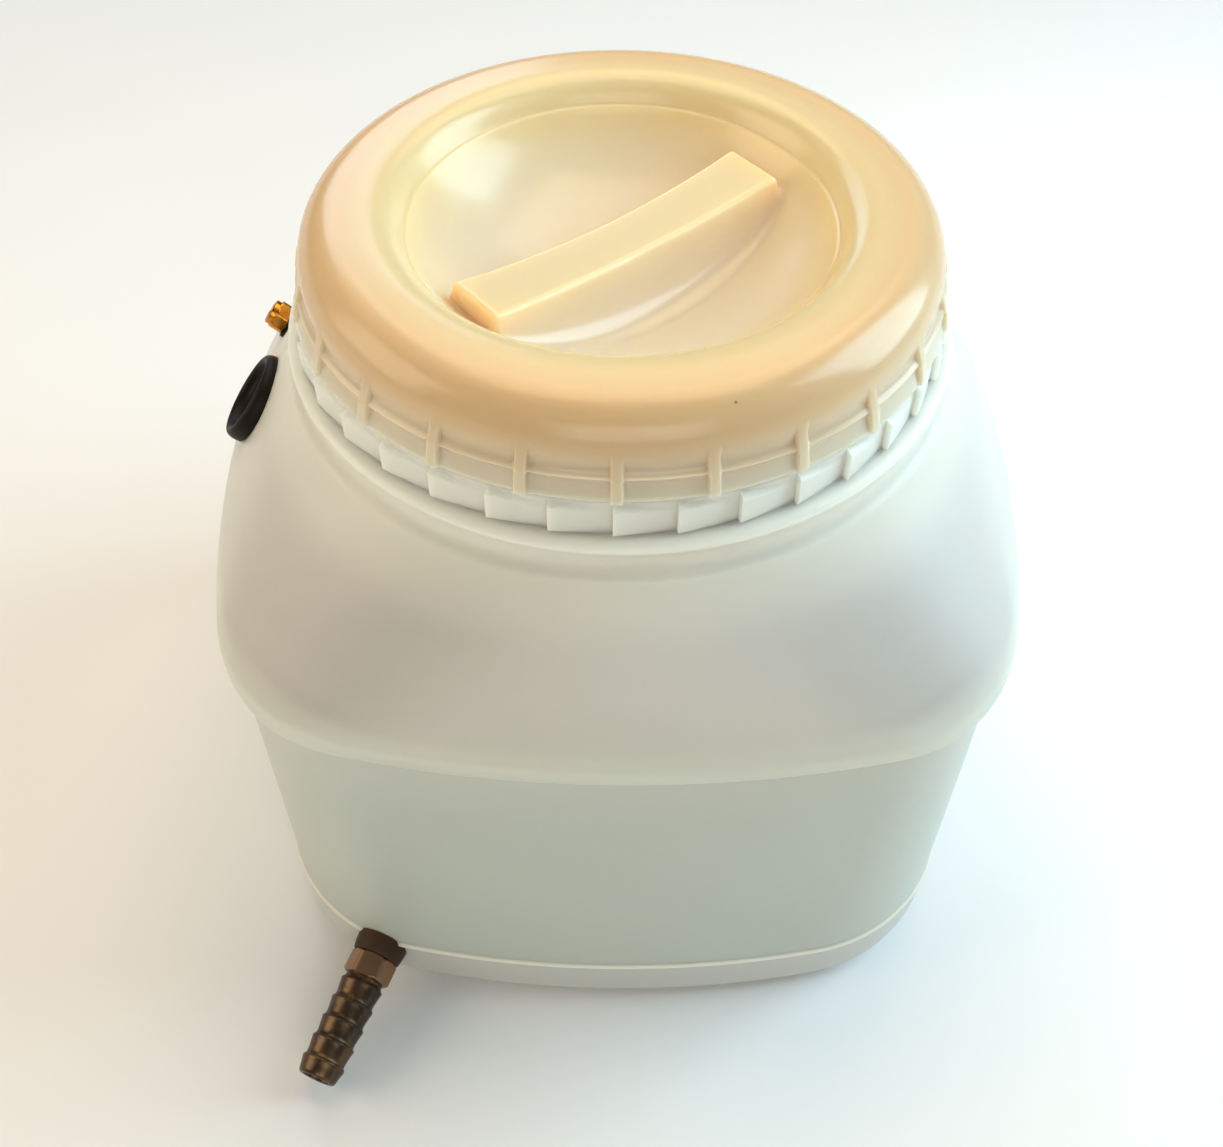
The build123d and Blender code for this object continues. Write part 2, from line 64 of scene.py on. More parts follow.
# ------------------------------------------------------------------ mesh helpers
def make_object(name, verts, faces, mats, smooth=True, sharp=None, face_mats=None):
    """A mesh object from millimetre vertices; sharp is an angle in degrees."""
    me = bpy.data.meshes.new(name)
    me.from_pydata([tuple(float(c) * MM for c in v) for v in verts], [], [tuple(int(i) for i in f) for f in faces])
    me.update()
    for m in mats:
        me.materials.append(m)
    if face_mats is not None:
        me.polygons.foreach_set("material_index", np.asarray(face_mats, dtype=np.int32))
    me.polygons.foreach_set("use_smooth", np.full(len(me.polygons), smooth))
    if sharp is not None:
        me.set_sharp_from_angle(angle=math.radians(sharp))
    me.validate()
    o = bpy.data.objects.new(name, me)
    bpy.context.scene.collection.objects.link(o)
    return o


class Build:
    """Collects grids of vertices into one mesh."""

    def __init__(self):
        self.v, self.f, self.n = [], [], 0

    def rings(self, rows, close_start=False, close_end=False, wrap=True):
        """rows: array (rows, segments, 3). Quads between neighbours, with fans closing the ends."""
        rows = np.asarray(rows, float)
        m, k, _ = rows.shape
        base = self.n
        self.v.append(rows.reshape(-1, 3))
        self.n += m * k
        i = np.arange(m - 1)[:, None]
        j = np.arange(k if wrap else k - 1)[None, :]
        a = base + i * k + j
        b = base + i * k + (j + 1) % k
        c = base + (i + 1) * k + (j + 1) % k
        d = base + (i + 1) * k + j
        self.f.append(np.stack([a, b, c, d], -1).reshape(-1, 4))
        for closing, row, flip in ((close_start, 0, True), (close_end, m - 1, False)):
            if closing:
                centre = rows[row].mean(0)
                self.v.append(centre[None])
                ci = self.n
                self.n += 1
                r = base + row * k + np.arange(k)
                tri = np.stack([r, np.roll(r, -1), np.full(k, ci)], -1)
                if flip:
                    tri = tri[:, ::-1]
                self.f.append(tri)

    def done(self):
        v = np.concatenate(self.v)
        f = []
        for block in self.f:
            f.extend(block.tolist())
        return v, f


def frame_of(d):
    """Two unit vectors square to d; the first is level."""
    d = d / np.linalg.norm(d)
    x = np.cross((0, 0, 1.0), d)
    x /= np.linalg.norm(x)
    return x, np.cross(d, x), d


def turned(profile, p, d, segs=96):
    """Rings of a profile of (radius, distance) pairs about an axis."""
    x, y, z = frame_of(d)
    a = np.linspace(0, 2 * np.pi, segs, endpoint=False)
    ring = np.cos(a)[:, None] * x + np.sin(a)[:, None] * y
    return np.stack([p + s * z + r * ring for r, s in profile])


def arc(c, r, a0, a1, n):
    t = np.radians(np.linspace(a0, a1, n))
    return [(c[0] + r * math.cos(w), c[1] + r * math.sin(w)) for w in t]


def rounded(points, radii, n=5):
    """A polyline with its inner corners rounded."""
    out = [points[0]]
    for i in range(1, len(points) - 1):
        p0, p1, p2 = (np.array(points[j], float) for j in (i - 1, i, i + 1))
        r = radii[i] if isinstance(radii, (list, tuple)) else radii
        d0, d2 = p0 - p1, p2 - p1
        l0, l2 = np.linalg.norm(d0), np.linalg.norm(d2)
        if r <= 0 or l0 < 1e-9 or l2 < 1e-9:
            out.append(tuple(p1))
            continue
        d0, d2 = d0 / l0, d2 / l2
        ang = math.acos(float(np.clip(d0 @ d2, -1, 1)))
        t = min(r / math.tan(ang / 2), 0.48 * l0, 0.48 * l2) if ang > 1e-3 else 0
        a, b = p1 + d0 * t, p1 + d2 * t
        for w in np.linspace(0, 1, n):
            out.append(tuple((1 - w) ** 2 * a + 2 * w * (1 - w) * p1 + w**2 * b))
    out.append(points[-1])
    return out


def smoothstep(a, b, x):
    t = np.clip((x - a) / (b - a), 0, 1)
    return t * t * (3 - 2 * t)


# ------------------------------------------------------------------ node helpers
def material(name):
    m = bpy.data.materials.new(name)
    m.use_nodes = True
    nt = m.node_tree
    nt.nodes.clear()
    out = nt.nodes.new("ShaderNodeOutputMaterial")
    bsdf = nt.nodes.new("ShaderNodeBsdfPrincipled")
    nt.links.new(bsdf.outputs[0], out.inputs["Surface"])
    return m, nt, bsdf


def node(nt, kind, **kw):
    n = nt.nodes.new(kind)
    for k, v in kw.items():
        setattr(n, k, v)
    return n


def noise(nt, coord, scale, detail=2.0, rough=0.5, distortion=0.0):
    n = node(nt, "ShaderNodeTexNoise")
    n.inputs["Scale"].default_value = scale
    n.inputs["Detail"].default_value = detail
    n.inputs["Roughness"].default_value = rough
    n.inputs["Distortion"].default_value = distortion
    nt.links.new(coord, n.inputs["Vector"])
    return n.outputs["Fac"]


def ramp(nt, fac, stops, mode="EASE"):
    n = node(nt, "ShaderNodeValToRGB")
    n.color_ramp.interpolation = mode
    e = n.color_ramp.elements
    while len(e) > 1:
        e.remove(e[-1])
    for i, (p, c) in enumerate(stops):
        c = (c, c, c, 1) if not isinstance(c, (tuple, list)) else (*c, 1)
        if i == 0:
            e[0].position, e[0].color = p, c
        else:
            x = e.new(p)
            x.color = c
    nt.links.new(fac, n.inputs["Fac"])
    return n.outputs["Color"]


def maths(nt, op, a, b=None, clamp=False):
    n = node(nt, "ShaderNodeMath", operation=op, use_clamp=clamp)
    for i, s in enumerate((a, b)):
        if s is None:
            continue
        if isinstance(s, (int, float)):
            n.inputs[i].default_value = s
        else:
            nt.links.new(s, n.inputs[i])
    return n.outputs[0]


def blend_colour(nt, fac, a, b, mode="MIX"):
    n = node(nt, "ShaderNodeMix", data_type="RGBA", blend_type=mode)
    for s, i in ((fac, 0), (a, 6), (b, 7)):
        if isinstance(s, (int, float)):
            n.inputs[i].default_value = s
        elif isinstance(s, (tuple, list)):
            n.inputs[i].default_value = (*s, 1)
        else:
            nt.links.new(s, n.inputs[i])
    return n.outputs[2]


def bump(nt, height, strength, distance, normal=None):
    n = node(nt, "ShaderNodeBump")
    n.inputs["Strength"].default_value = strength
    n.inputs["Distance"].default_value = distance
    nt.links.new(height, n.inputs["Height"])
    if normal is not None:
        nt.links.new(normal, n.inputs["Normal"])
    return n.outputs["Normal"]


def srgb(r, g, b):
    f = lambda c: (c / 255 / 12.92) if c / 255 <= 0.04045 else ((c / 255 + 0.055) / 1.055) ** 2.4
    return (f(r), f(g), f(b))


def coords(nt):
    tc = node(nt, "ShaderNodeTexCoord")
    sep = node(nt, "ShaderNodeSeparateXYZ")
    nt.links.new(tc.outputs["Object"], sep.inputs[0])
    return tc.outputs["Object"], sep.outputs[0], sep.outputs[1], sep.outputs[2]


# ------------------------------------------------------------------ materials
def drum_material():
    m, nt, b = material("drum_hdpe_natural")
    co, x, y, z = coords(nt)
    # painted light and shade by height: the foot band is painted lighter as the floor's reflection, the lower wall is
    # painted greyer as shade, and the shoulder is painted a light cream as light falling from above
    zn = maths(nt, "DIVIDE", z, 0.34)
    base = ramp(
        nt,
        zn,
        [
            (0.00, srgb(200, 200, 192)),
            (0.085, srgb(202, 203, 195)),
            (0.105, srgb(189, 196, 185)),
            (0.30, srgb(191, 199, 188)),
            (0.46, srgb(192, 199, 188)),
            (0.55, srgb(198, 202, 190)),
            (0.60, srgb(217, 220, 202)),
            (0.68, srgb(248, 243, 216)),
            (0.80, srgb(250, 244, 214)),
            (0.84, srgb(228, 229, 216)),
            (1.00, srgb(226, 226, 212)),
        ],
        "LINEAR",
    )
    # painted highlight: the ridge round the foot is painted a lighter cream where the light catches it
    painted_ridge_highlight = node(nt, "ShaderNodeMapRange", interpolation_type="SMOOTHERSTEP")
    nt.links.new(maths(nt, "ABSOLUTE", maths(nt, "SUBTRACT", z, 0.0330)), painted_ridge_highlight.inputs[0])
    painted_ridge_highlight.inputs[1].default_value = 0.0024
    painted_ridge_highlight.inputs[2].default_value = 0.0009
    painted_ridge_highlight.inputs[3].default_value = 0.0
    painted_ridge_highlight.inputs[4].default_value = 0.85
    base = blend_colour(nt, painted_ridge_highlight.outputs[0], base, srgb(242, 236, 216), "MIX")
    cloud = noise(nt, co, 9.0, 3.0, 0.55, 0.3)
    base = blend_colour(nt, maths(nt, "MULTIPLY", cloud, 0.14), base, srgb(198, 197, 178), "MIX")
    fine = noise(nt, co, 160.0, 4.0, 0.6)
    base = blend_colour(nt, maths(nt, "MULTIPLY", fine, 0.05), base, srgb(240, 236, 220), "MIX")
    nt.links.new(base, b.inputs["Base Color"])
    rough = maths(nt, "ADD", maths(nt, "MULTIPLY", noise(nt, co, 22.0, 3.0), 0.12), 0.34)
    nt.links.new(rough, b.inputs["Roughness"])
    b.inputs["IOR"].default_value = 1.5
    b.inputs["Specular IOR Level"].default_value = 0.5
    b.inputs["Subsurface Weight"].default_value = 1.0
    b.inputs["Subsurface Radius"].default_value = (0.95, 1.0, 1.0)
    b.inputs["Subsurface Scale"].default_value = 0.008
    # mould parting line down both sides
    ay = maths(nt, "ABSOLUTE", y)
    seam = node(nt, "ShaderNodeMapRange", interpolation_type="SMOOTHERSTEP")
    nt.links.new(ay, seam.inputs[0])
    seam.inputs[1].default_value = 0.0009
    seam.inputs[2].default_value = 0.0002
    seam.inputs[3].default_value = 0.0
    seam.inputs[4].default_value = 1.0
    n1 = bump(nt, noise(nt, co, 7.0, 2.0, 0.5, 0.4), 0.35, 0.004)
    n2 = bump(nt, noise(nt, co, 420.0, 3.0, 0.6), 0.10, 0.0003, n1)
    n3 = bump(nt, seam.outputs[0], 0.6, 0.0005, n2)
    nt.links.new(n3, b.inputs["Normal"])
    return m


def lid_material():
    m, nt, b = material("lid_cream_plastic")
    co, x, y, z = coords(nt)
    base = blend_colour(nt, noise(nt, co, 14.0, 3.0, 0.5), srgb(254, 216, 169), srgb(250, 210, 161))
    # painted shade: the thick rolled rim is painted darker than the dish, standing in for the weaker light on its front
    rad = maths(nt, "SQRT", maths(nt, "ADD", maths(nt, "MULTIPLY", x, x), maths(nt, "MULTIPLY", y, y)))
    roll = ramp(nt, maths(nt, "DIVIDE", rad, 0.14), [(0.60, 0.0), (0.72, 0.35), (0.84, 1.0)], "LINEAR")
    base = blend_colour(nt, maths(nt, "MULTIPLY", roll, 0.75), base, srgb(196, 171, 131))
    # painted light: the thin skirt rim and ribs are painted paler and cooler, standing in for light through the thin
    # plastic and the cool window light from the right
    painted_skirt_light = ramp(nt, maths(nt, "DIVIDE", maths(nt, "SUBTRACT", z, 0.302), 0.037), [(0.0, 1.0), (0.32, 0.6), (0.62, 0.0)], "LINEAR")
    base = blend_colour(nt, maths(nt, "MULTIPLY", painted_skirt_light, 0.45), base, srgb(216, 226, 220))
    specks = node(nt, "ShaderNodeTexVoronoi", feature="F1", distance="EUCLIDEAN")
    specks.inputs["Scale"].default_value = 22.0
    specks.inputs["Randomness"].default_value = 1.0
    nt.links.new(co, specks.inputs["Vector"])
    dark = ramp(nt, specks.outputs["Distance"], [(0.0, 1.0), (0.010, 1.0), (0.016, 0.0)], "LINEAR")
    base = blend_colour(nt, maths(nt, "MULTIPLY", dark, 0.75), base, srgb(60, 48, 36))
    nt.links.new(base, b.inputs["Base Color"])
    rough = maths(nt, "ADD", maths(nt, "MULTIPLY", noise(nt, co, 35.0, 4.0), 0.10), 0.17)
    nt.links.new(rough, b.inputs["Roughness"])
    b.inputs["IOR"].default_value = 1.5
    b.inputs["Subsurface Weight"].default_value = 1.0
    b.inputs["Subsurface Radius"].default_value = (1.0, 0.85, 0.60)
    b.inputs["Subsurface Scale"].default_value = 0.009
    n1 = bump(nt, noise(nt, co, 16.0, 2.0), 0.12, 0.002)
    n2 = bump(nt, noise(nt, co, 520.0, 3.0, 0.6), 0.08, 0.00025, n1)
    nt.links.new(n2, b.inputs["Normal"])
    return m


def rubber_material(name, a, bcol, rough0=0.42):
    m, nt, b = material(name)
    co, x, y, z = coords(nt)
    base = blend_colour(nt, noise(nt, co, 60.0, 4.0, 0.6), a, bcol)
    nt.links.new(base, b.inputs["Base Color"])
    nt.links.new(maths(nt, "ADD", maths(nt, "MULTIPLY", noise(nt, co, 180.0, 3.0), 0.2), rough0), b.inputs["Roughness"])
    b.inputs["IOR"].default_value = 1.52
    b.inputs["Specular IOR Level"].default_value = 0.13
    nt.links.new(bump(nt, noise(nt, co, 900.0, 3.0, 0.6), 0.18, 0.0002), b.inputs["Normal"])
    return m


def metal_material(name, a, bcol, ccol, rough0, spread, dirt=0.5, collar=None):
    m, nt, b = material(name)
    co, x, y, z = coords(nt)
    patch = noise(nt, co, 75.0, 4.0, 0.62, 0.6)
    base = blend_colour(nt, ramp(nt, patch, [(0.35, 0.0), (0.68, 1.0)]), a, bcol)
    spots = ramp(nt, noise(nt, co, 260.0, 5.0, 0.7), [(0.52, 0.0), (0.72, 1.0)])
    base = blend_colour(nt, maths(nt, "MULTIPLY", spots, dirt), base, ccol)
    if collar is not None:
        # a stretch along an axis painted paler: partly its own duller brass, partly painted reflection of the pale
        # floor
        point, axis, s0, s1, tone = collar
        dot = node(nt, "ShaderNodeVectorMath", operation="DOT_PRODUCT")
        nt.links.new(co, dot.inputs[0])
        dot.inputs[1].default_value = tuple(float(c) for c in axis)
        along = maths(nt, "SUBTRACT", dot.outputs["Value"], float(point @ axis) * MM)
        inside = maths(nt, "MULTIPLY", maths(nt, "GREATER_THAN", along, s0 * MM), maths(nt, "LESS_THAN", along, s1 * MM))
        base = blend_colour(nt, maths(nt, "MULTIPLY", inside, 0.85), base, tone)
    nt.links.new(base, b.inputs["Base Color"])
    b.inputs["Metallic"].default_value = 1.0
    nt.links.new(maths(nt, "ADD", maths(nt, "MULTIPLY", noise(nt, co, 120.0, 4.0, 0.6), spread), rough0), b.inputs["Roughness"])
    n1 = bump(nt, noise(nt, co, 320.0, 4.0, 0.6), 0.22, 0.0003)
    nt.links.new(n1, b.inputs["Normal"])
    return m


M_DRUM = drum_material()
M_LID = lid_material()
M_RUBBER = rubber_material("rubber_black", (0.0025, 0.002, 0.0015), (0.012, 0.007, 0.004), 0.36)
M_WASHER = rubber_material("rubber_brown", (0.040, 0.020, 0.011), (0.075, 0.042, 0.024), 0.42)
M_SEAL = rubber_material("rubber_grey", (0.30, 0.29, 0.27), (0.38, 0.36, 0.33), 0.5)
# the hex of the hose tail is painted paler: partly its own duller brass, partly painted reflection of the floor in its
# flats
M_TAIL = metal_material("brass_brown", srgb(104, 82, 60), srgb(66, 60, 58), srgb(44, 46, 52), 0.27, 0.18, 0.6, (TAP_P, TAP_D, 5.8, 17.1, srgb(158, 122, 92)))
M_BRASS = metal_material("brass_yellow", srgb(228, 160, 66), srgb(200, 126, 44), srgb(132, 74, 24), 0.16, 0.18, 0.35)


# ------------------------------------------------------------------ drum surface
BASE_A, BASE_RC, BASE_RB = 168.3, 80.0, 502.0
SHOULDER = np.array(
    [
        (190.0, 167.6, 62.0, 494.0),
        (192.6, 171.0, 65.0, 494.0),
        (197.0, 172.9, 70.0, 492.0),
        (203.0, 173.7, 78.0, 486.0),
        (209.0, 172.6, 87.0, 455.0),
        (216.0, 169.3, 97.0, 395.0),
        (224.0, 164.9, 106.0, 330.0),
        (233.0, 159.5, 115.0, 265.0),
        (242.0, 153.8, 122.5, 218.0),
        (251.0, 147.9, 128.5, 180.0),
        (259.0, 142.7, 132.0, 157.0),
        (265.0, 139.0, 134.0, 144.0),
        (270.0, 136.4, 135.4, 137.4),
    ]
)


def spline(x, xs, ys):
    """Cubic through the points, with slopes held so that it never overshoots."""
    xs, ys = np.asarray(xs, float), np.asarray(ys, float)
    h = np.diff(xs)
    d = np.diff(ys) / h
    m = np.empty(len(xs))
    m[0], m[-1] = d[0], d[-1]
    for i in range(1, len(xs) - 1):
        if d[i - 1] * d[i] <= 0:
            m[i] = 0
        else:
            w1, w2 = 2 * h[i] + h[i - 1], h[i] + 2 * h[i - 1]
            m[i] = (w1 + w2) / (w1 / d[i - 1] + w2 / d[i])
    i = np.clip(np.searchsorted(xs, x, side="right") - 1, 0, len(xs) - 2)
    t = (x - xs[i]) / h[i]
    return (
        ys[i] * (1 + 2 * t) * (1 - t) ** 2
        + h[i] * m[i] * t * (1 - t) ** 2
        + ys[i + 1] * t * t * (3 - 2 * t)
        + h[i] * m[i + 1] * t * t * (t - 1)
    )


def reach(phi, a, rc, rb):
    """Distance from the axis to a bowed rounded square at angle phi."""
    k = rb - a
    c = (-2 * k + math.sqrt(max(4 * k * k - 8 * (k * k - (rb - rc) ** 2), 0))) / 4
    t = math.atan2(c, c + k)
    turn = math.atan2(rb * math.sin(t), a - rb + rb * math.cos(t))
    w = np.abs((phi + np.pi / 4) % (np.pi / 2) - np.pi / 4)
    side = (a - rb) * np.cos(w) + np.sqrt(rb**2 - ((a - rb) * np.sin(w)) ** 2)
    corner = c * (np.cos(w) + np.sin(w)) + np.sqrt(np.maximum(rc**2 - c * c * (np.cos(w) - np.sin(w)) ** 2, 0))
    return np.where(w <= turn, side, corner)


def tooth_angles():
    """Angles with a pair of columns at each tooth step."""
    step = 360.0 / N_TEETH
    local = np.concatenate([[0.0, 0.05, 0.25], np.linspace(0.9, step - 0.6, 13), [step - 0.15]])
    out = np.concatenate([TOOTH_0 + i * step + local for i in range(N_TEETH)])
    return np.radians(out)


PHI = tooth_angles()
CS, SN = np.cos(PHI), np.sin(PHI)


def ring(r, z):
    r = np.broadcast_to(r, PHI.shape)
    z = np.broadcast_to(z, PHI.shape)
    return np.stack([r * CS, r * SN, z], -1)


def wall_section(z):
    """(a, rc, rb) of the outside at height z between the foot and the neck."""
    if z <= 33.5:
        return BASE_A, BASE_RC, BASE_RB
    if z <= 190.0:
        t = (z - 33.5) / (190.0 - 33.5)
        return 168.4 + (167.6 - 168.4) * t, 80.6 + (62.0 - 80.6) * t, 502.0 + (494.0 - 502.0) * t
    z = min(z, 270.0)
    return tuple(float(spline(np.array(z), SHOULDER[:, 0], SHOULDER[:, i])) for i in (1, 2, 3))


def tooth_profile(z):
    """How far the ratchet teeth stand out at height z above the collar, per column."""
    step = 2 * np.pi / N_TEETH
    f = ((PHI - math.radians(TOOTH_0)) % step) / step
    out = np.where(f < 0.004, 0.0, (R_TOOTH - R_COLLAR) * (1 - f) ** 1.15)
    top = ZB + 16.6 - 3.0 * f
    fade = 1 - smoothstep(top - 0.9, top + 0.9, z)
    return out * fade


def drum_rows(outside=True):
    rows = []
    w = 0.0 if outside else WALL
    # underside, slightly dished so that the drum stands on its edge
    a0, rc0, rb0 = BASE_A - 13.0, BASE_RC - 13.0, BASE_RB - 13.0
    rim = reach(PHI, a0 - w, rc0 - w, rb0 - w)
    floor_z = 0.0 if outside else 3.2
    for s in (0.06, 0.3, 0.55, 0.75, 0.86, 0.92, 0.95, 0.98):
        lift = 2.4 * (1 - smoothstep(0.84, 0.93, s)) if outside else 0.0
        rows.append(ring(rim * s, floor_z + lift))
    # foot
    foot = 12.0
    for t in np.radians(np.linspace(0, 90, 11)):
        d = foot * (1 - math.sin(t))
        z = foot * (1 - math.cos(t))
        rows.append(ring(reach(PHI, BASE_A - w - d, BASE_RC - w - d, BASE_RB - w - d), max(z, floor_z)))
    # band
    for z in (16, 20, 24, 27, 30, 31.2):
        a, rc, rb = BASE_A, BASE_RC, BASE_RB
        rows.append(ring(reach(PHI, a - w, rc - w, rb - w), z))
    if outside:
        for z, d in ((31.8, 0.5), (32.4, 1.15), (33.0, 1.35), (33.6, 1.25), (34.2, 0.7), (34.9, 0.15), (35.8, 0.0)):
            a, rc, rb = wall_section(z)
            rows.append(ring(reach(PHI, a + d, rc + d, rb + d), z))
    for z in list(np.linspace(38, 184, 30)) + [186.5, 188.4, 189.4]:
        a, rc, rb = wall_section(z)
        rows.append(ring(reach(PHI, a - w, rc - w, rb - w), z))
    for z in list(np.linspace(190.0, 193.5, 8)) + list(np.linspace(194.2, 210, 18)) + list(np.linspace(211, 269.4, 48)):
        a, rc, rb = wall_section(z)
        if not outside:
            z = z + 1.2 * smoothstep(188, 192, z) * (1 - smoothstep(240, 268, z))
            wz = w
        else:
            wz = 0.0
        rows.append(ring(reach(PHI, a - wz, rc - wz, rb - wz), z))
    return rows


# outside: neck profile above the shoulder
neck = [(136.1, 270.3), (135.0, 271.2), (134.0, 272.4), (133.2, 274.0), (132.8, 276.0), (132.6, 278.4), (132.6, 280.2)]
neck += [(132.9, 281.1), (133.7, 281.9), (134.5, 282.7), (134.95, 283.6), (135.0, 284.2), (134.8, 285.0), (134.2, 285.8), (133.2, 286.5), (131.8, 287.0)]
collar = [(129.4, 287.3), (128.4, 287.7), (128.0, 288.4), (128.0, 290.0), (128.0, 293.0), (128.0, 296.0)]
collar += [(128.0, z) for z in (297.2, 298.0, 298.8, 299.6, 300.4, 301.0)]
top = [(127.9, 301.6), (127.5, 302.1), (126.6, 302.4), (121.0, 302.5), (117.5, 302.6), (115.6, 303.1), (114.5, 304.2), (114.0, 306.0)]
top += [(114.0, z) for z in (312.0, 318.0, 323.0, 326.0)] + [(113.9, 327.0), (113.5, 327.7), (112.9, 328.0), (111.7, 328.0), (111.0, 327.7), (110.6, 327.1)]
inner = [(110.6, z) for z in (320.0, 310.0, 304.0, 302.6)] + [(111.4, 300.6), (113.4, 299.6), (118.0, 299.4), (123.0, 299.3), (124.7, 298.6), (125.2, 297.2), (125.2, 290.5), (125.8, 288.6), (128.6, 286.6), (129.7, 285.0), (129.9, 282.0), (129.9, 276.6), (130.6, 273.6), (132.0, 271.4)]

drum = Build()
rows = drum_rows(True)
rows += [ring(r, z) for r, z in neck]
for r, z in collar:
    lift = smoothstep(287.2, 288.6, z)
    rows.append(ring(r + tooth_profile(z) * lift, z))
rows += [ring(r, z) for r, z in top]
rows += [ring(r, z) for r, z in inner]
rows += drum_rows(False)[::-1]
drum.rings(np.stack(rows), close_start=True, close_end=True)


def helix_ridge(b, r0, r1, z0, turns, half0, half1, ease=26.0, start=0.0):
    """A trapezium ridge wound about Z that fades out at both ends."""
    n = int(turns * 200)
    a = np.linspace(0, turns * 2 * np.pi, n)
    run = np.radians(ease)
    grow = smoothstep(0, run, a) * smoothstep(0, run, a[-1] - a)
    rc = r0 + (r1 - r0) * grow
    z = z0 + PITCH * a / (2 * np.pi)
    h0, h1 = half0 * (0.35 + 0.65 * grow), half1 * (0.35 + 0.65 * grow)
    prof = []
    sgn = 0.6 if r1 > r0 else -0.6
    for rr, zz in (
        (np.full(n, r0 - sgn), z - h0),
        (r0 + (rc - r0) * 0.15, z - h0 * 0.96),
        (rc - (rc - r0) * 0.2, z - h1 * 1.12),
        (rc, z - h1 * 0.75),
        (rc, z + h1 * 0.75),
        (rc - (rc - r0) * 0.2, z + h1 * 1.12),
        (r0 + (rc - r0) * 0.15, z + h0 * 0.96),
        (np.full(n, r0 - sgn), z + h0),
    ):
        prof.append(np.stack([rr * np.cos(a + start), rr * np.sin(a + start), zz], -1))
    prof = np.stack(prof, 1)
    if r1 < r0:
        prof = prof[:, ::-1]
    b.rings(prof, close_start=True, close_end=True)


helix_ridge(drum, R_NECK, 117.0, ZB + 23.2, 1.25, 3.4, 2.2)

v, f = drum.done()
drum_obj = make_object("drum_shell", v, f, [M_DRUM], sharp=38)
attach(drum_obj, "drum")
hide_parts("drum_body")


# ------------------------------------------------------------------ screw lid
def rib_angles():
    step = 360.0 / N_RIBS
    local = np.array([-1.5, -1.24, -1.1, -0.96, -0.8, -0.4, 0.0, 0.4, 0.8, 0.96, 1.1, 1.24, 1.5])
    rest = np.linspace(2.1, step - 2.1, 19)
    return np.radians(np.concatenate([RIB_0 + i * step + np.concatenate([local, rest]) for i in range(N_RIBS)]))


LPHI = rib_angles()
LC, LS = np.cos(LPHI), np.sin(LPHI)
_step = 2 * np.pi / N_RIBS
_off = (LPHI - math.radians(RIB_0) + _step / 2) % _step - _step / 2
RIB_ON = 1 - smoothstep(math.radians(0.80), math.radians(1.24), np.abs(_off))

# direction across the bar and along it
U = np.array((math.sin(BAR_ANGLE), -math.cos(BAR_ANGLE)))
V = np.array((math.cos(BAR_ANGLE), math.sin(BAR_ANGLE)))
DISH_Z, DISH_R, DISH_H = 8.0, 88.0, 51.9
BAR_TOP, BAR_DIP, BAR_END = 40.3, 5.0, 71.5


def lring(r, z):
    r = np.broadcast_to(r, LPHI.shape)
    z = np.broadcast_to(z, LPHI.shape)
    return np.stack([r * LC, r * LS, z], -1)


def bowl(r):
    return DISH_Z + DISH_H * (1 - np.sqrt(np.clip(1 - (r / DISH_R) ** 2, 0, 1)))


def bar_distance(u, v, z):
    """Distance to the grip bar: drafted sides, rounded ends and top edges, a sagging top."""
    e = 1 - np.clip(np.abs(v) / BAR_END, 0, 1) ** 2
    topz = BAR_TOP - BAR_DIP * e
    half = 14.0 - 1.7 * e
    drop = np.maximum(topz - z, 0)
    lean = 0.17 * drop
    corner = 2.2
    qx = np.abs(u) - (half + lean) + corner
    qy = np.abs(v) - (BAR_END + 0.10 * drop) + corner
    side = np.hypot(np.maximum(qx, 0), np.maximum(qy, 0)) + np.minimum(np.maximum(qx, qy), 0) - corner
    side *= 0.985
    edge = 2.4
    a, b = side + edge, z - topz + edge
    return np.hypot(np.maximum(a, 0), np.maximum(b, 0)) + np.minimum(np.maximum(a, b), 0) - edge, topz


def dish_height(x, y):
    """Height of the dish with the bar grown out of it through a fillet, found by halving."""
    u, v = x * U[0] + y * U[1], x * V[0] + y * V[1]
    r = np.hypot(x, y)
    base = bowl(r)
    slope = DISH_H * (r / DISH_R**2) / np.sqrt(np.clip(1 - (r / DISH_R) ** 2, 0.05, 1))
    tilt = 1 / np.sqrt(1 + slope**2)
    e = 1 - np.clip(np.abs(v) / BAR_END, 0, 1) ** 2
    fillet = 3.0 + 11.0 * e**0.8
    lo, hi = base.copy(), base + 45.0
    for _ in range(34):
        z = (lo + hi) / 2
        d_bar, _t = bar_distance(u, v, z)
        d_floor = (z - base) * tilt
        f = fillet - np.hypot(np.maximum(fillet - d_bar, 0), np.maximum(fillet - d_floor, 0))
        solid = f < 0
        lo = np.where(solid, z, lo)
        hi = np.where(solid, hi, z)
    return (lo + hi) / 2


# dish from its middle outwards
lrows = []
for r in np.concatenate([[0.35, 1.2], np.arange(2.0, 82.45, 0.72)]):
    h = dish_height(r * LC, r * LS)
    lrows.append(lring(r, ZB + h))
outer = [(82.9, 42.55), (83.15, 42.95), (83.5, 43.25), (83.9, 43.42), (84.3, 43.65), (84.7, 44.1), (85.1, 44.8), (85.7, 45.9), (86.4, 47.2), (87.3, 48.6), (88.4, 49.9), (89.8, 51.1), (91.5, 52.1), (93.5, 52.85), (95.8, 53.3), (98.4, 53.5), (101.6, 53.4), (104.8, 53.17)]
outer += arc((108.0, 35.5), 17.5, 90, 0, 24)
skirt = [(125.42, 34.2), (125.35, 33.0), (125.4, 31.9), (125.6, 31.1), (125.95, 30.4), (126.45, 29.8), (126.95, 29.35), (127.45, 28.9), (127.6, 28.4), (127.35, 27.9), (126.9, 27.5), (126.75, 26.9), (127.2, 25.2), (127.9, 23.2), (128.6, 21.4), (129.05, 20.3), (129.1, 19.8), (128.8, 19.5)]
